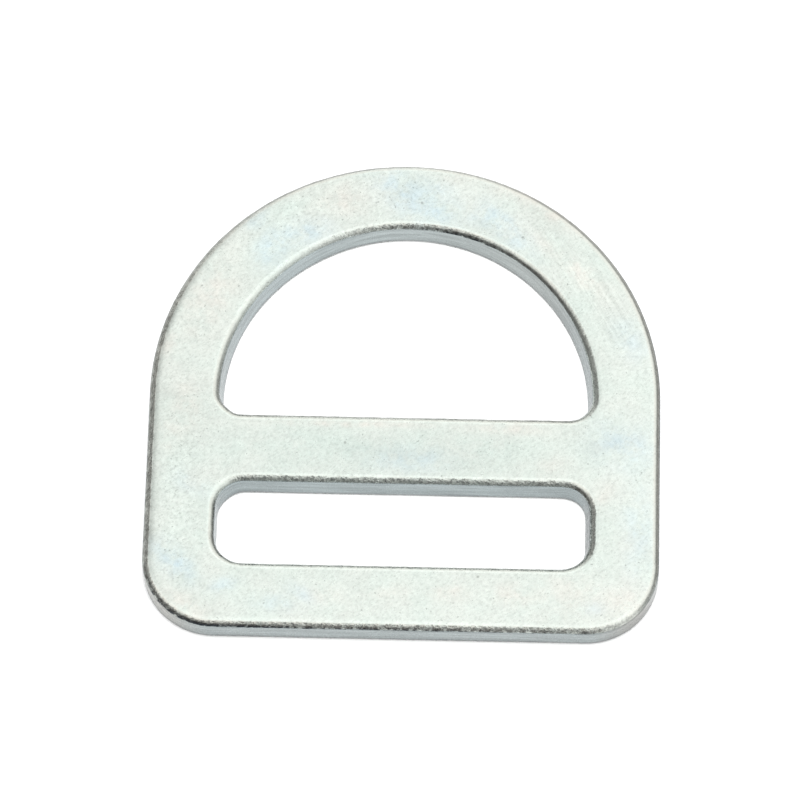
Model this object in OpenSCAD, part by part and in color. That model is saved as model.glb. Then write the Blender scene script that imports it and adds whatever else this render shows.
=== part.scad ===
// Stamped steel D ring with a webbing slot, lying flat on its plain underside.
// Z = 0 is the underside, Z = thickness is the face with the rolled edges.
// X runs along the webbing slot and Y runs from the slot towards the round end.
// The origin is under the middle of the ring's overall length and width.

/* [Webbing slot] */
// clear length of the slot, for webbing a millimetre narrower
slot_l = 46; // [40:0.5:52]
// clear height of the slot, across the ring's length
slot_h = 10.8; // [8:0.1:14]
// radius of the slot's four corners
slot_corner_r = 3.7; // [1.5:0.1:3.9]

/* [Bars] */
// width of the metal beyond each end of the slot, which sets the ring's overall width
end_w = 8.6; // [7:0.1:11]
// width of the bar that closes the slot at the straight end
foot_w = 8.5; // [6:0.1:12]
// width of the bar between the slot and the D opening
cross_w = 8.9; // [6:0.1:12]
// width of the round band beyond the D opening
band_w = 8.7; // [7:0.1:11]
// radius of the two outer corners at the straight end
foot_corner_r = 9; // [3:0.1:14]

/* [D opening] */
// radius of the two corners where the round band meets the crossbar
eye_corner_r = 2.8; // [1.5:0.1:6]

/* [Plate] */
// thickness of the steel
thickness = 4; // [2.5:0.1:6]

/* [Punched edges] */
// radius of the rolled edge round the face and both openings
face_edge_r = 0.8; // [0.3:0.05:1.1]
// radius of the smaller edge round the underside
under_edge_r = 0.4; // [0.2:0.05:1]
// how far each punched opening closes in from the face to the underside
hole_draft = 0.3; // [0:0.05:0.6]

/* [Hidden] */
$fn = 128;
// how far a punch reaches past both faces
past = 1;
ring_w = slot_l + 2 * end_w;
arc_r = ring_w / 2;
eye_r = arc_r - band_w;
// distances along Y from the straight end
slot_mid = foot_w + slot_h / 2;
sill_up = foot_w + slot_h + cross_w;
// the round band is centred level with the D opening's corners
arc_up = sill_up + eye_corner_r;
ring_l = arc_up + arc_r;
// the punched wall leans by the draft over the full thickness
wall_run = sqrt(pow(thickness, 2) + pow(hole_draft, 2));
lean_in = hole_draft / wall_run;
lean_up = thickness / wall_run;
// centres of the two edge radii, out from the wall's line on the face and up from the underside
face_z = thickness - face_edge_r;
face_u = face_edge_r / lean_up - hole_draft * face_edge_r / thickness;
under_u = under_edge_r / lean_up - hole_draft * (1 - under_edge_r / thickness);
// depth of the layer of a punch that holds its wall and edges
skin = 1.2;
// the wall bites this far into both edge radii, so that each meets it in a clean line
bite = 0.001;
// how far out the punched wall is at height z, from its line on the face
function wall_at(z) = hole_draft * (z / thickness - 1) + bite;

// cross-section from a middle line out to the outer wall, with both edges rounded
module body_section(w) {
    difference() {
        square([w, thickness]);
        translate([w - face_edge_r, face_z]) square([face_edge_r + past, face_edge_r + past]);
        translate([w - under_edge_r, -past]) square([under_edge_r + past, under_edge_r + past]);
    }
    intersection() {
        translate([w - face_edge_r, face_z]) circle(r = face_edge_r);
        translate([w - face_edge_r, face_z]) square([face_edge_r, face_edge_r]);
    }
    intersection() {
        translate([w - under_edge_r, under_edge_r]) circle(r = under_edge_r);
        translate([w - under_edge_r, 0]) square([under_edge_r, under_edge_r]);
    }
}

// cross-section removed by a punch, from its middle out to a leaning wall at w with both edges rounded
module punch_section(w) {
    under_top = under_edge_r * (1 + lean_in);
    face_low = face_z + face_edge_r * lean_in;
    translate([0, -past]) square([w - skin / 2, thickness + 2 * past]);
    translate([w, 0]) {
        polygon([
            [-skin, -past],
            [wall_at(-past), -past],
            [wall_at(thickness + past), thickness + past],
            [-skin, thickness + past]
        ]);
        difference() {
            translate([-skin, -past]) square([skin + under_u, under_top + past]);
            translate([under_u, under_edge_r]) circle(r = under_edge_r);
        }
        difference() {
            translate([-skin, face_low]) square([skin + face_u, thickness + past - face_low]);
            translate([face_u, face_z]) circle(r = face_edge_r);
        }
    }
}

// a cross-section turned about x, y
module turned(x, y, from, turn) {
    translate([x, y, 0]) rotate_extrude(angle = turn, start = from) children();
}

// a cross-section run straight from x, y: it faces the given way out, and runs towards the right of that way
module straight(x, y, run, outwards) {
    translate([x, y, 0]) rotate([90, 0, outwards]) linear_extrude(height = run) children();
}

// the ring without its openings: a half disc, two corners, three straight edges and the filling between them
module outer_body() {
    x = arc_r - foot_corner_r;
    side_l = arc_up - foot_corner_r;
    turned(0, arc_up, 0, 180) body_section(arc_r);
    turned(-x, foot_corner_r, 180, 90) body_section(foot_corner_r);
    turned(x, foot_corner_r, 270, 90) body_section(foot_corner_r);
    straight(x, arc_up, side_l, 0) body_section(foot_corner_r);
    straight(-x, foot_corner_r, side_l, 180) body_section(foot_corner_r);
    straight(x, foot_corner_r, 2 * x, 270) body_section(foot_corner_r);
    translate([-x, foot_corner_r, 0]) cube([2 * x, side_l, thickness]);
}

// what the slot's punch removes
module slot_punch() {
    x = slot_l / 2 - slot_corner_r;
    y = slot_h / 2 - slot_corner_r;
    translate([0, slot_mid, 0]) {
        turned(x, y, 0, 90) punch_section(slot_corner_r);
        turned(-x, y, 90, 90) punch_section(slot_corner_r);
        turned(-x, -y, 180, 90) punch_section(slot_corner_r);
        turned(x, -y, 270, 90) punch_section(slot_corner_r);
        straight(x, y, 2 * y, 0) punch_section(slot_corner_r);
        straight(-x, y, 2 * x, 90) punch_section(slot_corner_r);
        straight(-x, -y, 2 * y, 180) punch_section(slot_corner_r);
        straight(x, -y, 2 * x, 270) punch_section(slot_corner_r);
        translate([-x, -y, -past]) cube([2 * x, 2 * y, thickness + 2 * past]);
    }
}

// what the D opening's punch removes
module eye_punch() {
    x = eye_r - eye_corner_r;
    translate([0, arc_up, 0]) {
        turned(0, 0, 0, 180) punch_section(eye_r);
        turned(-x, 0, 180, 90) punch_section(eye_corner_r);
        turned(x, 0, 270, 90) punch_section(eye_corner_r);
        straight(x, 0, 2 * x, 270) punch_section(eye_corner_r);
    }
}

// the whole ring, one piece of plated steel
module d_ring() {
    color([0.84, 0.87, 0.86]) translate([0, -ring_l / 2, 0]) difference() {
        outer_body();
        slot_punch();
        eye_punch();
    }
}

d_ring();
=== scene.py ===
"""A zinc plated D ring on a pale studio floor.

The ring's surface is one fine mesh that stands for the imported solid. It has the same outlines and
thickness, with the softer shoulders, uneven rolled edges, streaked walls and slight orange peel of the
stamped, tumbled and plated steel.
"""
import math

import bpy
import numpy as np
from mathutils import Matrix, Vector, geometry, kdtree, noise


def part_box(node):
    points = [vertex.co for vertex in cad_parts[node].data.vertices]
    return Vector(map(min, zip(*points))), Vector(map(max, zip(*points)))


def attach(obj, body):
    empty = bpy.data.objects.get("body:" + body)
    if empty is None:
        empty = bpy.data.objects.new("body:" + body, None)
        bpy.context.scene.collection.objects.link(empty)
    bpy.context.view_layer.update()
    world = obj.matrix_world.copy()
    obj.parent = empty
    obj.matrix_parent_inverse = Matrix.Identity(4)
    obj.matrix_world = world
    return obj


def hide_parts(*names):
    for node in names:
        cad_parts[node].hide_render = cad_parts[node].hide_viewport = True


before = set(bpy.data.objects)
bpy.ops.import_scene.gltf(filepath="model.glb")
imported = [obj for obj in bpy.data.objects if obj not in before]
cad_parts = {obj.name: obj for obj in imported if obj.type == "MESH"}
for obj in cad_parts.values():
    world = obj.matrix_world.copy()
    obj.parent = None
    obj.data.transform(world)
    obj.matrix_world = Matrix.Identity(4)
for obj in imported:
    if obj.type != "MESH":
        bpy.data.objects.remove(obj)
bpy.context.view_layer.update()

MM = 0.001

# The ring's outlines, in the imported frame. The outer sizes come from the solid's own box.
low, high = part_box("d_ring")
thickness = high.z - low.z
ring_w = high.x - low.x
arc_r = ring_w / 2
arc_y = high.y - arc_r
foot_y = low.y
foot_corner_r = 9.0 * MM
band_w = 8.7 * MM
eye_r = arc_r - band_w
eye_corner_r = 2.8 * MM
foot_w = 8.5 * MM
slot_l = 46.0 * MM
slot_h = 10.8 * MM
slot_corner_r = 3.7 * MM
slot_mid_y = foot_y + foot_w + slot_h / 2
hole_draft = 0.3 * MM

# The rolled edge round the face, as the radius of each stretch, its last tilt in degrees and its steps: a
# shoulder, a turn, a worn slope and a tight turn into the wall. The punched openings have a shorter
# shoulder than the outside.
EDGE_TURN = ((1.0 * MM, 28, 3), (1.5 * MM, 56, 7), (0.35 * MM, 90, 3))
OUTER_ROLL = ((3.0 * MM, 12, 4),) + EDGE_TURN
PUNCHED_ROLL = ((1.2 * MM, 12, 3),) + EDGE_TURN
UNDER_R = 0.4 * MM
UNDER_STEPS = 5
WALL_STEPS = 9

# How the edge of each outline changes round it, every 45 degrees from its right side by its back.
# rim, foot: how far its rims on the face and on the underside lie outwards, in mm.
# line: the strength of the dark line on the rolled edge, painted shade for the dark side it reflects.
# sooner, ends: by how many degrees of tilt the line begins and ends sooner.
# wall, warmth: how bright the wall is, painted shade that differs round the outline, and how warm its
# colour.
# dented: the share of dents and breaks in the line.
# polish: the strength of the bright shoulder, partly brighter tumbled plating and partly a painted
# highlight.
OUTER_EDGE = {
    "rim": (0, 0.10, 0, 0.10, 0, -0.05, 0, 0),
    "foot": (0, 0.10, 0, 0.10, 0, 0, 0, 0),
    "line": (0.95, 0.92, 0.8, 0.85, 0.86, 1, 0.86, 0.3),
    "sooner": (6, 11, 5, 7, 2, 5, -2, 3),
    "ends": (0, 0, 0, 0, 4, 8, 0, 0),
    "wall": (0.8, 1, 1, 1, 0.9, 0.86, 0.975, 0.66),
    "warmth": (0.3, 0, 0, 0, 0.6, 1, 0.1, 1),
    "dented": (0, 0, 0, 0.1, 0.3, 0.6, 0.8, 0.3),
    "polish_and_highlight": (0.5, 0.5, 0.7, 0.5, 0.5, 0.75, 0.9, 0.6),
}
EYE_EDGE = {
    "rim": (0.40, 0.20, -0.08, -0.17, 0.13, -0.05, 0.06, 0.22),
    "foot": (0, -0.04, 0, -0.15, -0.12, 0, 0, 0),
    "line": (0.5, 1, 0.62, 0.1, 0.74, 1, 0.79, 0.6),
    "sooner": (-1, 1, 0, 0, 3, 0, 2, 2),
    "ends": (10, 8, 2, 0, 0, 0, 0, 0),
    "wall": (0.79, 1, 1.075, 1.04, 0.8, 1, 1, 0.85),
    "warmth": (0, 0.4, 0.2, 0, 0, 0, 0, 0),
    "dented": (0, 0.1, 0.9, 0, 0, 0, 0, 0),
    "polish_and_highlight": (1, 1, 1, 1.1, 0.4, 1, 1, 1),
}
SLOT_EDGE = {
    "rim": (0.14, 0.15, 0, -0.03, -0.06, 0.09, 0.10, 0.21),
    "foot": (-0.23, 0.12, 0, -0.11, 0, 0, 0, -0.12),
    "line": (0.8, 1, 0.33, 0.1, 0.85, 0.75, 0.47, 0.6),
    "sooner": (-6, 3, 0, 0, 0, 0, 0, 0),
    "ends": (12, 10, 0, 0, 0, 0, 0, 0),
    "wall": (0.48, 0.97, 0.97, 0.95, 0.8, 1, 1, 0.8),
    "warmth": (0, 0, 0, 0, 0, 0, 0, 0),
    "dented": (0.4, 0.2, 0.9, 0, 0, 0, 0, 0),
    "polish_and_highlight": (1, 1, 1, 0.8, 0.6, 1, 1, 1),
}
EDGE_MARKS = ("line", "sooner", "ends", "wall", "warmth", "dented", "polish_and_highlight")

# The mesh's spacing along the outlines, over the face and over the underside, and the share of it that
# stays free of inner points along the rims.
EDGE_STEP = 0.25 * MM
FACE_STEP = 0.25 * MM
UNDER_STEP = 0.42 * MM
RIM_GAP = 0.6

# The relief of the surface: the size of its swellings and how far they sink below the smooth surface. The
# noise of each layer is drawn from its own height, so that no two line up, and the edge's own layers lie
# lower by a share of their depth.
SWELL_SIZE, SWELL_DEPTH = 9.0 * MM, 0.012 * MM
PEEL_SIZE, PEEL_DEPTH = 1.2 * MM, 0.006 * MM
ROLL_SIZE, ROLL_DEPTH = 0.7 * MM, 0.03 * MM
STREAK_RUN, STREAK_RISE, STREAK_DEPTH = 7.0 * MM, 0.45 * MM, 0.014 * MM
PEEL_HEIGHT, ROLL_HEIGHT = 0.05, 0.02
LOWER = 0.3

# Reflectances of the plating, linear red, green and blue. Some carry painted shade and highlight, as marked
# below.
PLATING = (0.676, 0.718, 0.669, 1)
PLATING_GREEN = (0.632, 0.722, 0.668, 1)
PLATING_BLUE = (0.588, 0.706, 0.744, 1)
PLATING_WARM = (0.725, 0.706, 0.650, 1)
# The walls: duller sheared plating, darkened further with painted shade.
PLATING_WALL_AND_SHADE = (0.272, 0.312, 0.317, 1)
CORNER_WALL = (0.306, 0.310, 0.290, 1)
# The dark line on the rolled edge is painted shade, for the dark side it reflects, darkest at its foot.
EDGE_LINE = (0.170, 0.164, 0.148, 1)
EDGE_FOOT = (0.030, 0.037, 0.045, 1)
# Painted shade at the walls' foot, by the floor.
WALL_FOOT_SHADE = (0.15, 0.155, 0.165, 1)
FRINGE = (0.64, 0.615, 0.55, 1)
# Painted shade in the dents of the rolled edge.
DENT_SHADE = (0.085, 0.092, 0.098, 1)
PIT = (0.15, 0.16, 0.15, 1)
# The bright shoulder's gain: partly brighter tumbled plating, partly a painted highlight.
SHOULDER_HIGHLIGHT_GAIN = (1.13, 1.13, 1.13, 1)

# Sizes of the plating's grain: of the face's tints, clouds, flecks and specks, of the walls, of the dark
# line, and of the gloss and the bump.
GREEN_SIZE = 5 * MM
PATCH_SIZE = 2.2 * MM
DRIFT_SIZE = 2.6 * MM
CLOUD_SIZE = 0.55 * MM
BLOTCH_SIZE = 0.7 * MM
FLECK_SIZE = 0.28 * MM
SCRATCH_SIZE = 0.24 * MM
SPECK_SIZE = 0.36 * MM
STREAK_SIZE = 0.42 * MM
UNEVEN_SIZE = 0.7 * MM
RAGGED_SIZE = 0.5 * MM
DENT_SIZE = 0.36 * MM
GLOSS_SIZE = 0.6 * MM
BUMP_SIZE = 0.5 * MM
# How far off the grain is drawn that mustn't follow the rest.
GRAIN_SHIFT = (0.3, 0.1, 0.2)

# Where the plating's tints and other places lie: x, y, half length and half width in mm, turn in degrees
# and share. A share below 0 is the opposite: brighter, or a weaker line. The fade is how fast they end.
PLACE_FADE = 1.1
BLUE_PLACES = (
    (-0.5, 27.0, 5.5, 2.4, -38, 0.9),
    (3.6, 27.8, 2.2, 1.4, -30, 0.4),
    (3.8, 24.6, 2.4, 1.2, -20, 0.5),
    (8.5, 24.2, 3.4, 1.4, -15, 0.4),
    (12.2, 22.6, 4.2, 1.6, -48, 0.9),
    (-17.0, 19.2, 2.6, 2.0, 60, 0.9),
    (-19.2, 23.0, 1.8, 1.2, 40, 0.5),
    (-12.8, 21.6, 3.4, 1.7, 15, 0.8),
    (27.8, 7.6, 3.2, 1.8, -60, 0.5),
    (27.0, -6.6, 3.8, 2.8, -10, 0.8),
    (29.0, -18.0, 6.0, 1.9, 90, 0.5),
    (1.0, -9.0, 5.0, 1.7, 0, 0.6),
    (-27.6, -23.0, 3.4, 1.5, -42, 1.0),
    (-21.4, -26.0, 1.8, 1.0, 20, 0.6),
    (-14.6, -28.2, 3.0, 1.0, 0, 0.6),
    (-12.0, -26.8, 1.8, 1.0, -30, 0.5),
    (-26.0, -12.8, 2.4, 1.2, -30, 0.5),
    (23.8, -28.2, 1.4, 1.0, 0, 0.4),
)
GREEN_PLACES = (
    (-8.0, -7.6, 16.0, 2.6, 0, 0.8),
    (10.0, -7.4, 6.0, 2.0, 0, 0.6),
    (-19.6, 17.4, 4.6, 2.2, 48, 0.7),
    (-14.6, 25.0, 4.0, 1.2, 32, 0.7),
    (-24.6, -19.6, 1.6, 3.0, 0, 0.6),
    (20.0, 19.6, 2.6, 1.8, -50, 0.5),
    (22.6, 11.4, 2.0, 1.4, -50, 0.5),
)
WARM_PLACES = (
    (-8.5, 26.0, 3.6, 2.4, 15, 0.8),
    (-24.4, 12.5, 7.0, 3.0, 62, 0.75),
    (-27.0, -2.6, 3.6, 2.2, 90, 0.8),
    (-29.6, 6.0, 1.6, 1.0, 80, 0.7),
    (16.8, 25.6, 4.6, 1.3, -38, 1.0),
    (21.8, 16.4, 3.8, 1.7, -52, 0.9),
    (16.8, 20.4, 2.4, 1.0, -48, 0.6),
    (11.8, 27.6, 2.0, 1.2, -20, 0.5),
    (6.0, 29.6, 3.0, 0.9, -5, 0.7),
    (-6.0, -4.4, 10.0, 0.5, 0, 0.9),
    (12.5, -4.7, 5.0, 0.9, 0, 0.9),
    (18.4, -9.4, 2.2, 1.6, 0, 0.4),
    (24.6, -13.2, 1.8, 1.2, 60, 0.6),
    (-26.0, -28.8, 3.2, 1.8, -35, 0.8),
    (-29.2, -7.0, 2.4, 1.4, 85, 0.5),
    (-9.6, -27.2, 2.8, 1.4, 0, 0.6),
    (-1.2, -26.6, 2.6, 1.4, 0, 0.5),
    (6.0, -26.4, 2.6, 1.2, 0, 0.8),
    (13.6, -26.6, 2.4, 1.4, 0, 0.8),
    (21.0, -26.4, 5.0, 3.0, 0, 0.6),
    (27.5, -27.5, 3.4, 2.4, 40, 0.7),
)
# Darker places on the face: partly duller plating, partly painted shade, such as the strip along the left
# rim. A share below 0 brightens, partly with painted light.
DULL_AND_SHADE_PLACES = (
    (-1.0, -8.0, 19.0, 3.2, 0, 1.1),
    (-0.3, -8.4, 2.4, 0.9, -5, 1.1),
    (-6.5, -7.8, 1.5, 1.1, 10, 0.9),
    (8.0, -9.6, 6.0, 1.0, -4, 0.5),
    (-22.0, -6.5, 1.2, 1.0, 0, 0.6),
    (24.6, -6.6, 2.6, 0.9, 15, 0.8),
    (-28.4, -1.2, 1.9, 0.7, -22, 1.8),
    (-26.8, -4.6, 4.4, 3.4, 60, 0.6),
    (-30.8, -19.8, 1.3, 0.7, 90, 2.4),
    (-27.6, -24.4, 2.6, 2.0, -40, 0.5),
    (-24.4, -15.0, 3.0, 0.6, 90, 0.7),
    (-31.2, -4.0, 27.0, 1.3, 90, 2.6),
    (-28.6, 12.4, 9.0, 1.2, 64, 2.0),
    (-0.6, 27.0, 3.6, 1.2, -35, 1.0),
    (-9.2, 26.4, 0.9, 0.8, 0, 1.1),
    (-15.2, 22.8, 4.4, 1.9, 38, -0.7),
    (-3.6, 25.4, 3.0, 1.2, 0, -0.5),
    (-19.0, 21.2, 1.2, 0.8, 40, 0.6),
    (17.8, 23.4, 2.6, 1.3, -45, 1.3),
    (20.8, 19.2, 1.8, 1.2, -50, 0.9),
    (10.2, 22.2, 3.0, 0.7, -38, 0.8),
    (22.4, 14.0, 3.4, 1.4, -55, -0.7),
    (26.2, 8.4, 2.8, 0.8, -38, 0.7),
    (27.8, 4.0, 2.6, 2.2, 90, -0.7),
    (26.2, -5.4, 4.2, 2.8, 90, 0.6),
    (28.0, -12.0, 17.0, 4.6, 90, -0.7),
    (25.4, -24.4, 4.4, 2.6, -45, -0.5),
    (8.0, -28.0, 24.0, 3.4, 0, -0.6),
    (6.4, 27.4, 3.8, 1.8, -8, -0.7),
    (-23.4, 14.6, 4.4, 2.0, 60, -0.6),
    (-27.6, -16.6, 5.4, 2.2, 90, -0.6),
    (20.0, 18.5, 7.0, 3.0, -52, -0.4),
)
MOTTLED_PLACES = (
    (-12.0, 25.0, 9.0, 3.5, 30, 0.8),
    (-25.0, 12.0, 12.0, 4.0, 62, 0.6),
    (2.0, 27.2, 8.0, 3.4, 0, 0.6),
    (15.5, 22.5, 6.0, 3.5, -42, 0.5),
    (26.0, 8.0, 7.0, 3.5, -65, 0.2),
    (-27.5, -13.0, 13.0, 3.5, 90, 0.9),
)
# Places where the dark line's painted shade is stronger, and weaker where the share is below 0.
LINE_SHADE_PLACES = (
    (-25.0, -29.8, 4.0, 2.4, -30, 0.5),
    (-19.0, -31.0, 6.0, 2.4, 0, 0.3),
    (17.0, -31.0, 9.0, 2.4, 0, -0.26),
    (26.5, -29.6, 2.6, 2.0, 35, -0.15),
    (30.2, -27.2, 2.2, 1.4, 60, 0.28),
    (-7.5, 30.6, 6.0, 2.0, 15, 0.12),
    (6.6, 22.0, 3.6, 1.4, -18, 0.4),
    (-7.0, 22.2, 3.0, 1.4, 18, -0.2),
    (-19.0, -12.0, 3.5, 1.4, 0, 0.12),
    (-30.4, -26.8, 1.8, 1.4, -60, 0.15),
    (-15.0, 28.0, 5.0, 1.6, 30, 0.08),
)
SCRATCHED_PLACES = ((25.5, 11.7, 6.5, 2.6, -60, 1.0), (18.0, 19.5, 6.0, 2.5, -55, 0.6))

# The ways of the fine scratches and of the flecks, how narrow they and the walls' streaks are beside their
# length, and the pits' places in mm with the radii of their floors and rims.
SCRATCH_WAY, SCRATCH_SHAPE = math.radians(-61), 0.02
FLECK_WAY, FLECK_SHAPE = math.radians(38), 0.65
WALL_SHAPE = 0.06
PIT_FLOOR, PIT_RIM = 0.05 * MM, 0.26 * MM
PITS = ((9.5, -24.3), (14.2, 21.4), (1.5, 25.9), (-7.2, -6.9), (-24.5, 19.0))

# The camera that matches the photograph, an 800 pixel square.
PHOTO_PIXELS = 800
CAMERA_FOCUS_PIXELS = 5368.3
CAMERA_AZIMUTH = math.radians(2.634)
CAMERA_ELEVATION = math.radians(66.72)
CAMERA_ROLL = math.radians(-1.287)
CAMERA_DISTANCE = 663.0 * MM
CAMERA_TARGET = Vector((-0.583, -1.086, 4.0)) * MM
SENSOR = 36.0

# The studio's soft light: its strength all round, its strength on the dark side, front left, the way there
# and the pale backdrop that the camera sees.
BRIGHT = 1.30
DIM = 0.14
DARK_SIDE = (-0.906, -0.423, 0.0)
BACKDROP = (0.95, 0.95, 0.95, 1)

# The floor, and the area light above that whitens it.
FLOOR_HALF = 3.0
FLOOR = (0.93, 0.93, 0.93, 1)
LIGHT_HEIGHT = 1.3
LIGHT_SIZE = 0.4
LIGHT_RADIANCE = 26.0


def smooth(low_edge, high_edge, value):
    """0 below low_edge and 1 above high_edge, with a smooth step between"""
    t = np.clip((value - low_edge) / (high_edge - low_edge), 0, 1)
    return t * t * (3 - 2 * t)


def loop_of_arcs(arcs):
    """points and outward normals along the closed line that joins these arcs by straight lines. An arc is
    centre x, centre y, radius and its first and last angle in degrees, anticlockwise."""
    points, normals = [], []
    for k, (x, y, r, first, last) in enumerate(arcs):
        steps = max(3, round(r * math.radians(last - first) / EDGE_STEP))
        angles = np.radians(np.linspace(first, last, steps + 1))
        ways = np.column_stack((np.cos(angles), np.sin(angles)))
        arc = np.array((x, y)) + r * ways
        points.extend(arc)
        normals.extend(ways)
        x, y, r, first, last = arcs[(k + 1) % len(arcs)]
        start = np.array((x + r * math.cos(math.radians(first)), y + r * math.sin(math.radians(first))))
        gap = np.linalg.norm(start - arc[-1])
        if gap < EDGE_STEP / 2:
            points.pop()
            normals.pop()
            continue
        for share in np.linspace(0, 1, round(gap / EDGE_STEP) + 1)[1:-1]:
            points.append(arc[-1] + share * (start - arc[-1]))
            normals.append(ways[-1])
    return np.array(points), np.array(normals)


def outer_loop():
    """the plate's outline: a half circle and two rounded corners"""
    x, y, r = arc_r - foot_corner_r, foot_y + foot_corner_r, foot_corner_r
    return loop_of_arcs(((0, arc_y, arc_r, 0, 180), (-x, y, r, 180, 270), (x, y, r, 270, 360)))


def eye_loop():
    """the D opening's outline"""
    x, r = eye_r - eye_corner_r, eye_corner_r
    return loop_of_arcs(((0, arc_y, eye_r, 0, 180), (-x, arc_y, r, 180, 270), (x, arc_y, r, 270, 360)))


def slot_loop():
    """the webbing slot's outline"""
    x, y = slot_l / 2 - slot_corner_r, slot_h / 2 - slot_corner_r
    corners = ((x, y), (-x, y), (-x, -y), (x, -y))
    arcs = [(cx, slot_mid_y + cy, slot_corner_r, 90 * k, 90 * k + 90) for k, (cx, cy) in enumerate(corners)]
    return loop_of_arcs(arcs)


def edge_section(roll, draft):
    """the surface from the flat of the face, over the rolled edge and down the wall, to the underside: rows
    of u, z and tilt, where u is how far out of the metal it lies from the wall's line on the face"""
    wall_tilt = math.pi / 2 - math.atan2(draft, thickness)
    rows = [(0.0, thickness, 0.0)]

    def turn(radius, last, steps):
        """adds an arc of that radius up to the tilt last"""
        u, z, start = rows[-1]
        for tilt in np.linspace(start, last, steps + 1)[1:]:
            out, down = math.sin(tilt) - math.sin(start), math.cos(start) - math.cos(tilt)
            rows.append((u + radius * out, z - radius * down, tilt))

    for radius, last, steps in roll:
        turn(radius, min(math.radians(last), wall_tilt), steps)
    u, wall_top, _ = rows[-1]
    shift = draft * (1 - wall_top / thickness) - u
    rows = [(u + shift, z, tilt) for u, z, tilt in rows]
    wall_foot = UNDER_R * (1 + math.cos(wall_tilt))
    for z in np.linspace(wall_top, wall_foot, WALL_STEPS + 1)[1:]:
        rows.append((draft * (1 - z / thickness), z, wall_tilt))
    turn(UNDER_R, math.pi, UNDER_STEPS)
    return np.array(rows)


class Surface:
    """vertices, their normals, their tilts on the section and their edge marks, gathered with the faces
    that join them"""

    def __init__(self):
        self.points, self.normals, self.tilts, self.marks, self.faces = [], [], [], [], []
        self.count = 0

    def add(self, points, normals, tilts, marks):
        """adds vertices; returns the first one's number"""
        first = self.count
        self.points.append(points)
        self.normals.append(normals)
        self.tilts.append(tilts)
        self.marks.append(marks)
        self.count += len(points)
        return first


def round_loop(values, ways):
    """the values given every 45 degrees, at each of these ways, smooth between"""
    turn = np.degrees(np.arctan2(ways[:, 1], ways[:, 0])) % 360 / 45
    first = np.floor(turn).astype(int)
    share = smooth(0, 1, turn - first)
    values = np.array(values, float)
    return values[first % 8] * (1 - share) + values[(first + 1) % 8] * share


def sweep_edge(surface, loop, section, out, edge):
    """runs the section round the loop, with its rims and its marks as edge says; returns the rims on the
    face and the underside as vertex numbers, points and ways out of the metal"""
    line, ways = loop
    u, z, tilt = section.T
    n, m = len(line), len(section)
    rim, foot = (round_loop(edge[name], ways)[:, None] * MM for name in ("rim", "foot"))
    spread = out * u[None, :] + rim * z[None, :] / thickness + foot * (1 - z[None, :] / thickness)
    flat = line[:, None, :] + spread[:, :, None] * ways[:, None, :]
    points = np.dstack((flat, np.broadcast_to(z, (n, m))))
    leans = np.sin(tilt)[None, :, None] * out * ways[:, None, :]
    normals = np.dstack((leans, np.broadcast_to(np.cos(tilt), (n, m))))
    marks = np.column_stack([round_loop(edge[name], ways) for name in EDGE_MARKS])
    tilts = np.tile(tilt, n)
    first = surface.add(points.reshape(-1, 3), normals.reshape(-1, 3), tilts, np.repeat(marks, m, 0))
    a = first + np.arange(n)[:, None] * m + np.arange(m - 1)[None, :]
    b = first + (np.arange(n)[:, None] + 1) % n * m + np.arange(m - 1)[None, :]
    quads = np.stack((a, a + 1, b + 1, b) if out > 0 else (a, b, b + 1, a + 1), -1)
    surface.faces.extend(quads.reshape(-1, 4).tolist())
    return [(first + k + m * np.arange(n), points[:, k, :2], out * ways) for k in (0, m - 1)]


def fill_flat(surface, rims, height, facing, step):
    """triangles between the rims at this height, from a triangular grid of points a step apart"""
    numbers = np.concatenate([r[0] for r in rims])
    rim = np.concatenate([r[1] for r in rims])
    ways = np.concatenate([r[2] for r in rims])
    tree = kdtree.KDTree(len(rim))
    for k, (x, y) in enumerate(rim):
        tree.insert((x, y, 0), k)
    tree.balance()

    def inset(x, y):
        """how far inside the metal's rims a point lies"""
        near, k, distance = tree.find((x, y, 0))
        towards = (near.x - x) * ways[k][0] + (near.y - y) * ways[k][1]
        return math.copysign(distance, towards)

    (x0, y0), (x1, y1) = rim.min(0), rim.max(0)
    rise = step * math.sqrt(3) / 2
    inner = []
    for row in range(int((y1 - y0) / rise) + 1):
        for column in range(int((x1 - x0) / step) + 1):
            x, y = x0 + (column + 0.5 * (row % 2)) * step, y0 + row * rise
            if inset(x, y) > RIM_GAP * step:
                inner.append((x, y))
    edges, first = [], 0
    for r in rims:
        n = len(r[0])
        edges.extend((first + k, first + (k + 1) % n) for k in range(n))
        first += n
    places = [Vector(p) for p in rim] + [Vector(p) for p in inner]
    made, _, triangles, origins, _, _ = geometry.delaunay_2d_cdt(places, edges, [], 0, 1e-9)
    start = surface.add(
        np.column_stack((np.array(inner), np.full(len(inner), height))),
        np.tile((0.0, 0.0, float(facing)), (len(inner), 1)),
        np.full(len(inner), 0.0 if facing > 0 else math.pi),
        np.zeros((len(inner), len(EDGE_MARKS))),
    )
    numbers = np.concatenate((numbers, start + np.arange(len(inner))))
    for triangle in triangles:
        sources = [origins[k][0] for k in triangle]
        centre = sum((made[k] for k in triangle), Vector((0, 0))) / 3
        if max(sources) < len(rim) and inset(*centre) <= 0:
            continue
        corners = [int(numbers[k]) for k in sources]
        surface.faces.append(corners if facing > 0 else corners[::-1])


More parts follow.
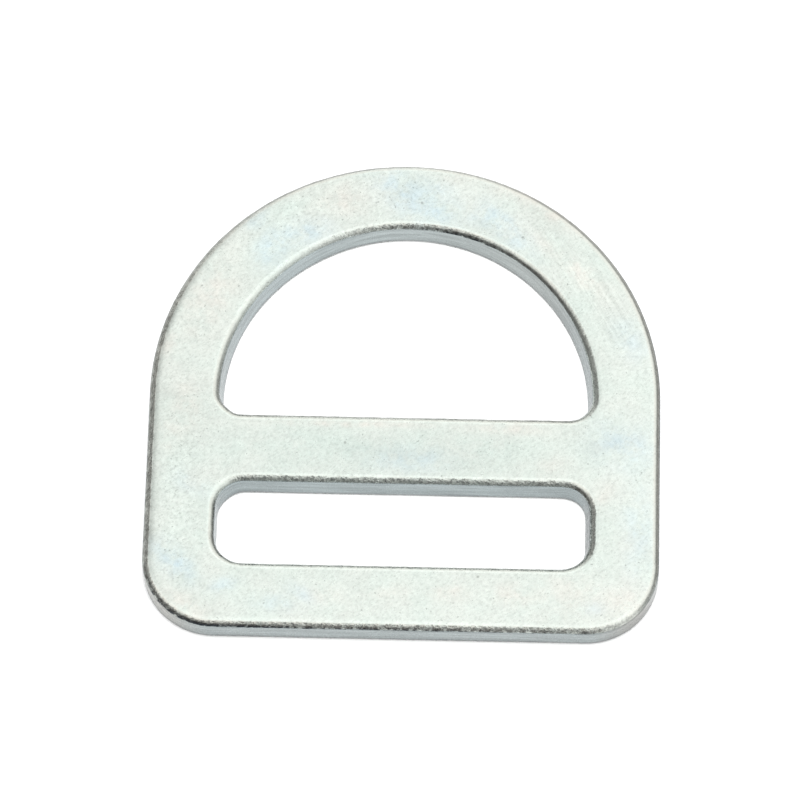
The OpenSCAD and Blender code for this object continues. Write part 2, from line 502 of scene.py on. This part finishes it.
def relief(points, tilts):
    """how far each point sinks along its normal, from smooth noise of several sizes"""
    degrees = np.degrees(tilts)
    rolled = smooth(8, 30, degrees) * (1 - smooth(70, 88, degrees))
    wall = smooth(60, 80, degrees) * (1 - smooth(110, 140, degrees))
    sunk = np.zeros(len(points))
    for k, (x, y, z) in enumerate(points):
        depth = SWELL_DEPTH * noise.noise(Vector((x, y, z)) / SWELL_SIZE)
        depth += PEEL_DEPTH * noise.noise(Vector((x, y, z + PEEL_HEIGHT)) / PEEL_SIZE)
        if rolled[k] > 0:
            dent = noise.noise(Vector((x, y, z + ROLL_HEIGHT)) / ROLL_SIZE)
            depth += rolled[k] * ROLL_DEPTH * (dent - LOWER)
        if wall[k] > 0:
            streak = noise.noise(Vector((x / STREAK_RUN, y / STREAK_RUN, z / STREAK_RISE)))
            depth += wall[k] * STREAK_DEPTH * (streak - LOWER)
        sunk[k] = depth
    return sunk - SWELL_DEPTH - PEEL_DEPTH


def shares(points, places):
    """how strongly each point lies in these oval places, which fade out round their rims"""
    total = np.zeros(len(points))
    for x, y, half_length, half_width, turn, share in places:
        along, across = math.cos(math.radians(turn)), math.sin(math.radians(turn))
        dx, dy = points[:, 0] / MM - x, points[:, 1] / MM - y
        away = np.hypot((dx * along + dy * across) / half_length, (dy * along - dx * across) / half_width)
        total += share * np.exp(-PLACE_FADE * away * away)
    return total


def plated_ring():
    """the whole surface of the ring as one closed mesh"""
    surface = Surface()
    face_rims, under_rims = [], []
    punched = edge_section(PUNCHED_ROLL, hole_draft)
    outlines = (
        (outer_loop(), edge_section(OUTER_ROLL, 0.0), 1, OUTER_EDGE),
        (eye_loop(), punched, -1, EYE_EDGE),
        (slot_loop(), punched, -1, SLOT_EDGE),
    )
    for outline in outlines:
        face_rim, under_rim = sweep_edge(surface, *outline)
        face_rims.append(face_rim)
        under_rims.append(under_rim)
    fill_flat(surface, face_rims, thickness, 1, FACE_STEP)
    fill_flat(surface, under_rims, 0.0, -1, UNDER_STEP)
    points = np.concatenate(surface.points)
    normals = np.concatenate(surface.normals)
    tilts = np.concatenate(surface.tilts)
    points = points + relief(points, tilts)[:, None] * normals
    mesh = bpy.data.meshes.new("plated_ring")
    mesh.from_pydata(points.tolist(), [], surface.faces)
    marks = {
        "tilt": np.degrees(tilts),
        "blue": shares(points, BLUE_PLACES),
        "green": shares(points, GREEN_PLACES),
        "warm": shares(points, WARM_PLACES),
        "dull_and_shade": shares(points, DULL_AND_SHADE_PLACES),
        "mottled": shares(points, MOTTLED_PLACES),
        "scratched": shares(points, SCRATCHED_PLACES),
        "line_shade": shares(points, LINE_SHADE_PLACES),
    }
    marks.update(zip(EDGE_MARKS, np.concatenate(surface.marks).T))
    for name, values in marks.items():
        mesh.attributes.new(name, "FLOAT", "POINT").data.foreach_set("value", values.astype(np.float32))
    mesh.shade_smooth()
    ring = bpy.data.objects.new("plated_ring", mesh)
    bpy.context.scene.collection.objects.link(ring)
    return ring


# The shading. Tilts are in degrees: 0 on the face, 90 on a wall and 180 on the underside.


def add(tree, kind, inputs=(), **settings):
    """a node of that kind; inputs gives values or other nodes' outputs for its sockets"""
    made = tree.nodes.new(kind)
    for name, value in settings.items():
        setattr(made, name, value)
    for socket, value in dict(inputs).items():
        if isinstance(value, bpy.types.NodeSocket):
            tree.links.new(value, made.inputs[socket])
        else:
            made.inputs[socket].default_value = value
    return made


def grain(tree, place, size, detail=2.0, roughness=0.5):
    """smooth noise round 0.5 whose largest swellings are about size across"""
    values = {"Vector": place, "Scale": 1 / size, "Detail": detail, "Roughness": roughness}
    return add(tree, "ShaderNodeTexNoise", values).outputs["Fac"]


def ramp(tree, value, low_edge, high_edge, to_low=0.0, to_high=1.0):
    """to_low below low_edge and to_high above high_edge, smooth between"""
    values = {"Value": value, "From Min": low_edge, "From Max": high_edge}
    values.update({"To Min": to_low, "To Max": to_high})
    return add(tree, "ShaderNodeMapRange", values, interpolation_type="SMOOTHSTEP").outputs["Result"]


def calc(tree, operation, a, b):
    """a sum, product or the like of two numbers"""
    return add(tree, "ShaderNodeMath", {0: a, 1: b}, operation=operation).outputs[0]


def vector(tree, operation, a, b):
    """the node that works out this of two vectors"""
    return add(tree, "ShaderNodeVectorMath", {0: a, 1: b}, operation=operation)


def blend(tree, share, a, b, mode="MIX"):
    """colour a, with b mixed in by share"""
    return add(tree, "ShaderNodeMix", {0: share, 6: a, 7: b}, data_type="RGBA", blend_type=mode).outputs[2]


def mark(tree, name):
    """the mesh's own value of that name"""
    return add(tree, "ShaderNodeAttribute", attribute_name=name).outputs["Fac"]


def stretched(tree, place, way, shape):
    """the place, squeezed along that way, so that grain drawn from it is stretched there"""
    turned = add(tree, "ShaderNodeVectorRotate", {"Vector": place, "Angle": -way}, rotation_type="Z_AXIS")
    return vector(tree, "MULTIPLY", turned.outputs[0], (shape, 1, 1)).outputs[0]


def tinted_zinc(tree, place, apart):
    """pale zinc, greenish in parts, with its green, warm and blue places, all patchy"""
    greenish = ramp(tree, grain(tree, apart, GREEN_SIZE, 3), 0.3, 0.7, 0, 0.5)
    colour = blend(tree, greenish, PLATING, PLATING_GREEN)
    patchy = ramp(tree, grain(tree, place, PATCH_SIZE, 5, 0.65), 0.32, 0.66, 0.15, 1.0)
    for name, tint in (("green", PLATING_GREEN), ("warm", PLATING_WARM), ("blue", PLATING_BLUE)):
        parts = {0: mark(tree, name), 1: patchy}
        share = add(tree, "ShaderNodeMath", parts, operation="MULTIPLY", use_clamp=True)
        colour = blend(tree, share.outputs[0], colour, tint)
    return colour


def clouded(tree, place, apart, colour):
    """the colour with its dull places, partly painted shade and light, soft clouds, blotches, flecks and
    fine scratches
    """
    # the dull places, partly painted shade and light
    dull_and_shade = calc(tree, "SUBTRACT", 1.0, calc(tree, "MULTIPLY", mark(tree, "dull_and_shade"), 0.05))
    drift = ramp(tree, grain(tree, place, DRIFT_SIZE, 2, 0.5), 0.3, 0.7, 0.98, 1.02)
    cloud = ramp(tree, grain(tree, apart, CLOUD_SIZE, 3, 0.6), 0.3, 0.7, 0.96, 1.035)
    mottled = mark(tree, "mottled")
    blotch = ramp(tree, grain(tree, place, BLOTCH_SIZE, 2, 0.6), 0.34, 0.66, -0.06, 0.05)
    blotch = calc(tree, "ADD", 1.0, calc(tree, "MULTIPLY", blotch, mottled))
    drawn = stretched(tree, place, FLECK_WAY, FLECK_SHAPE)
    deepest = ramp(tree, mottled, 0, 1, 0.86, 0.82)
    fleck = ramp(tree, grain(tree, drawn, FLECK_SIZE, 2, 0.7), 0.45, 0.72, 1.0, deepest)
    drawn = stretched(tree, place, SCRATCH_WAY, SCRATCH_SHAPE)
    scratch = ramp(tree, grain(tree, drawn, SCRATCH_SIZE, 2), 0.36, 0.64, -0.05, 0.05)
    scratch = calc(tree, "MULTIPLY", scratch, ramp(tree, mark(tree, "scratched"), 0, 1, 0.2, 1.2))
    scratch = calc(tree, "ADD", 1.0, scratch)
    for layer in (dull_and_shade, drift, cloud, blotch, fleck, scratch):
        colour = blend(tree, 1.0, colour, layer, "MULTIPLY")
    return colour


def specked(tree, place, apart, colour):
    """the colour with dark specks, more of them in the mottled places, and with the pits"""
    peaks = calc(tree, "MULTIPLY", mark(tree, "mottled"), 0.045)
    peaks = calc(tree, "ADD", grain(tree, apart, SPECK_SIZE, 1), peaks)
    speck = ramp(tree, peaks, 0.70, 0.80, 0, 0.45)
    for x, y in PITS:
        away = vector(tree, "DISTANCE", place, (x * MM, y * MM, thickness)).outputs["Value"]
        speck = calc(tree, "MAXIMUM", speck, ramp(tree, away, PIT_FLOOR, PIT_RIM, 0.5, 0))
    return blend(tree, speck, colour, PIT)


def streaked_wall(tree, place):
    """the walls' colour, streaked along them, with painted shade at the foot"""
    wide = vector(tree, "MULTIPLY", place, (WALL_SHAPE, WALL_SHAPE, 1)).outputs[0]
    streak = ramp(tree, grain(tree, wide, STREAK_SIZE, 3, 0.55), 0.3, 0.7, 0.84, 1.15)
    colour = blend(tree, mark(tree, "warmth"), PLATING_WALL_AND_SHADE, CORNER_WALL)
    # painted shade: the walls darker on some sides than others
    colour = blend(tree, 1.0, colour, calc(tree, "MULTIPLY", streak, mark(tree, "wall")), "MULTIPLY")
    up = add(tree, "ShaderNodeSeparateXYZ", {0: place}).outputs["Z"]
    # painted shade at the foot of the wall, where it meets the floor
    return blend(tree, ramp(tree, up, 0.3 * MM, 1.0 * MM, 0.62, 0), colour, WALL_FOOT_SHADE)


def dark_line(tree, place, apart, tilt, colour):
    """the colour with the dark line of the edge, painted shade for the dark side it reflects, with its warm
    fringe, its ragged foot and its dents
    """
    dented = mark(tree, "dented")
    # extra painted shade of the line in its places
    line_shade = mark(tree, "line_shade")
    # its strength, broken up where the edge is dented
    uneven = ramp(tree, grain(tree, apart, UNEVEN_SIZE, 3, 0.6), 0.4, 0.6, -0.7, 0.35)
    uneven = calc(tree, "ADD", 1.0, calc(tree, "MULTIPLY", uneven, dented))
    strength = calc(tree, "ADD", calc(tree, "MULTIPLY", mark(tree, "line"), uneven), line_shade)
    # the warm fringe above the line
    begins = calc(tree, "ADD", tilt, mark(tree, "sooner"))
    fringe = calc(tree, "MULTIPLY", ramp(tree, begins, 14, 26), ramp(tree, begins, 34, 44, 0.5, 0))
    colour = blend(tree, calc(tree, "MULTIPLY", fringe, strength), colour, FRINGE)
    # the line itself, painted shade, darkest at its foot
    ragged = ramp(tree, grain(tree, place, RAGGED_SIZE, 3, 0.6), 0.38, 0.62, -11, 8)
    ends = calc(tree, "ADD", tilt, mark(tree, "ends"))
    ends = calc(tree, "ADD", ends, calc(tree, "MULTIPLY", ragged, dented))
    line = calc(tree, "MULTIPLY", ramp(tree, begins, 32, 46), ramp(tree, ends, 57, 71, 0.92, 0))
    lower = calc(tree, "ADD", ramp(tree, tilt, 44, 58), line_shade)
    shade = blend(tree, lower, EDGE_LINE, EDGE_FOOT)
    colour = blend(tree, calc(tree, "MULTIPLY", line, strength), colour, shade)
    # dents, darkened with painted shade, fewest at the shoulder
    dent = calc(tree, "ADD", grain(tree, place, DENT_SIZE, 2, 0.6), ramp(tree, tilt, 14, 34, -0.24, -0.02))
    dent = calc(tree, "MULTIPLY", ramp(tree, dent, 0.49, 0.57, 0, 0.6), ramp(tree, tilt, 46, 60, 1, 0))
    return blend(tree, calc(tree, "MULTIPLY", dent, dented), colour, DENT_SHADE)


def fine_bump(tree, place, tilt):
    """the normal on fine grain, with dents on the rolled edge"""
    rolled = calc(tree, "MULTIPLY", ramp(tree, tilt, 8, 26), ramp(tree, tilt, 58, 76, 1, 0))
    height = calc(tree, "MULTIPLY", grain(tree, place, BUMP_SIZE, 3, 0.6), 0.006)
    dents = calc(tree, "MULTIPLY", grain(tree, place, DENT_SIZE, 2, 0.6), rolled)
    depth = ramp(tree, mark(tree, "dented"), 0, 1, 0.035, 0.11)
    height = calc(tree, "ADD", height, calc(tree, "MULTIPLY", dents, depth))
    bump = add(tree, "ShaderNodeBump", {"Height": height, "Distance": MM, "Strength": 1.0})
    return bump.outputs["Normal"]


def plated_material():
    """satin zinc plating: tinted, specked face; bright shoulder, partly a painted highlight; dark line of
    painted shade; dull walls, partly painted shade
    """
    material = bpy.data.materials.new("zinc_plated_steel")
    material.use_nodes = True
    tree = material.node_tree
    tree.nodes.clear()
    place = add(tree, "ShaderNodeTexCoord").outputs["Object"]
    apart = vector(tree, "ADD", place, GRAIN_SHIFT).outputs[0]
    tilt = mark(tree, "tilt")
    colour = tinted_zinc(tree, place, apart)
    colour = clouded(tree, place, apart, colour)
    colour = specked(tree, place, apart, colour)
    # the bright shoulder, partly tumbled plating and partly a painted highlight
    shoulder = calc(tree, "MULTIPLY", ramp(tree, tilt, 4, 14), ramp(tree, tilt, 24, 36, 1, 0))
    polish_and_highlight = calc(tree, "MULTIPLY", shoulder, mark(tree, "polish_and_highlight"))
    colour = blend(tree, polish_and_highlight, colour, SHOULDER_HIGHLIGHT_GAIN, "MULTIPLY")
    wall = calc(tree, "MULTIPLY", ramp(tree, tilt, 50, 64), ramp(tree, tilt, 110, 150, 1, 0))
    colour = blend(tree, wall, colour, streaked_wall(tree, place))
    colour = dark_line(tree, place, apart, tilt, colour)
    rough = ramp(tree, grain(tree, place, GLOSS_SIZE, 3), 0.35, 0.7, 0.24, 0.34)
    inputs = {"Base Color": colour, "Roughness": rough, "Normal": fine_bump(tree, place, tilt)}
    shader = add(tree, "ShaderNodeBsdfPrincipled", inputs)
    shader.inputs["Metallic"].default_value = 1.0
    add(tree, "ShaderNodeOutputMaterial", {"Surface": shader.outputs["BSDF"]})
    return material


def floor_material():
    """matt pale grey"""
    material = bpy.data.materials.new("studio_floor")
    material.use_nodes = True
    shader = material.node_tree.nodes["Principled BSDF"]
    shader.inputs["Base Color"].default_value = FLOOR
    shader.inputs["Roughness"].default_value = 0.9
    shader.inputs["Specular IOR Level"].default_value = 0.1
    return material


def studio_floor():
    """a plain square floor under the ring"""
    half = FLOOR_HALF
    corners = [(-half, -half, 0), (half, -half, 0), (half, half, 0), (-half, half, 0)]
    mesh = bpy.data.meshes.new("studio_floor")
    mesh.from_pydata(corners, [], [(0, 1, 2, 3)])
    floor = bpy.data.objects.new("studio_floor", mesh)
    bpy.context.scene.collection.objects.link(floor)
    mesh.materials.append(floor_material())


def floor_light():
    """a square area light straight above the ring, which whitens the floor and isn't seen in the metal"""
    light = bpy.data.lights.new("floor_light", "AREA")
    light.shape = "RECTANGLE"
    light.size = LIGHT_SIZE
    light.size_y = LIGHT_SIZE
    light.energy = LIGHT_RADIANCE * LIGHT_SIZE ** 2 * math.pi
    lamp = bpy.data.objects.new("floor_light", light)
    bpy.context.scene.collection.objects.link(lamp)
    lamp.location = (0, 0, LIGHT_HEIGHT)
    lamp.visible_camera = False
    lamp.visible_glossy = False


def studio_world():
    """even soft light that fades towards the horizon, with a dark side that is darkest well above the
    horizon; the camera sees a pale backdrop"""
    world = bpy.data.worlds.new("studio_world")
    bpy.context.scene.world = world
    world.use_nodes = True
    tree = world.node_tree
    tree.nodes.clear()
    way = add(tree, "ShaderNodeTexCoord").outputs["Generated"]
    parts = add(tree, "ShaderNodeSeparateXYZ", {0: way}).outputs
    flat = vector(tree, "MULTIPLY", way, (1, 1, 0)).outputs[0]
    level = add(tree, "ShaderNodeVectorMath", {0: flat}, operation="NORMALIZE")
    side = vector(tree, "DOT_PRODUCT", level.outputs[0], DARK_SIDE).outputs["Value"]
    # the dark side reaches higher up towards the back and less high in its own middle
    behind = calc(tree, "MAXIMUM", parts["Y"], 0.0)
    rise = calc(tree, "SUBTRACT", parts["Z"], calc(tree, "MULTIPLY", behind, 0.25))
    rise = calc(tree, "ADD", rise, ramp(tree, side, 0.75, 1.0, 0, 0.16))
    dark = calc(tree, "MULTIPLY", ramp(tree, side, -0.25, 0.45), ramp(tree, rise, 0.5, 0.96, 1, 0))
    dark = calc(tree, "MULTIPLY", dark, ramp(tree, parts["Z"], 0.18, 0.5, 0.5, 1))
    # the light all round, which fades least at the back
    edge_fade = ramp(tree, parts["Y"], 0.5, 1.0, 0.45, 0.9)
    fading = {"Value": parts["Z"], "From Max": 0.6, "To Min": edge_fade}
    fade = add(tree, "ShaderNodeMapRange", fading).outputs["Result"]
    dimming = {"Value": dark, "To Min": calc(tree, "MULTIPLY", fade, BRIGHT), "To Max": DIM}
    strength = add(tree, "ShaderNodeMapRange", dimming).outputs["Result"]
    soft = add(tree, "ShaderNodeBackground", {"Color": (1, 1, 1, 1), "Strength": strength}).outputs[0]
    pale = add(tree, "ShaderNodeBackground", {"Color": BACKDROP, "Strength": 1.0}).outputs[0]
    seen = add(tree, "ShaderNodeLightPath").outputs["Is Camera Ray"]
    both = add(tree, "ShaderNodeMixShader", {0: seen, 1: soft, 2: pale}).outputs[0]
    add(tree, "ShaderNodeOutputWorld", {"Surface": both})


def photo_camera():
    """the camera fitted to the photograph's outlines"""
    data = bpy.data.cameras.new("photo_camera")
    data.sensor_width = SENSOR
    data.lens = CAMERA_FOCUS_PIXELS / PHOTO_PIXELS * SENSOR
    camera = bpy.data.objects.new("photo_camera", data)
    bpy.context.scene.collection.objects.link(camera)
    el, az = CAMERA_ELEVATION, CAMERA_AZIMUTH
    back = Vector((math.sin(az) * math.cos(el), -math.cos(az) * math.cos(el), math.sin(el)))
    right = Vector((math.cos(az), math.sin(az), 0))
    up = back.cross(right)
    turned_right = right * math.cos(CAMERA_ROLL) + up * math.sin(CAMERA_ROLL)
    turned_up = up * math.cos(CAMERA_ROLL) - right * math.sin(CAMERA_ROLL)
    matrix = Matrix((turned_right, turned_up, back)).transposed().to_4x4()
    matrix.translation = CAMERA_TARGET + back * CAMERA_DISTANCE
    camera.matrix_world = matrix
    bpy.context.scene.camera = camera


photo_camera()
studio_floor()
studio_world()
floor_light()

ring = plated_ring()
ring.data.materials.append(plated_material())
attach(ring, "root")
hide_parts("d_ring")

bpy.context.scene.view_settings.view_transform = "Standard"
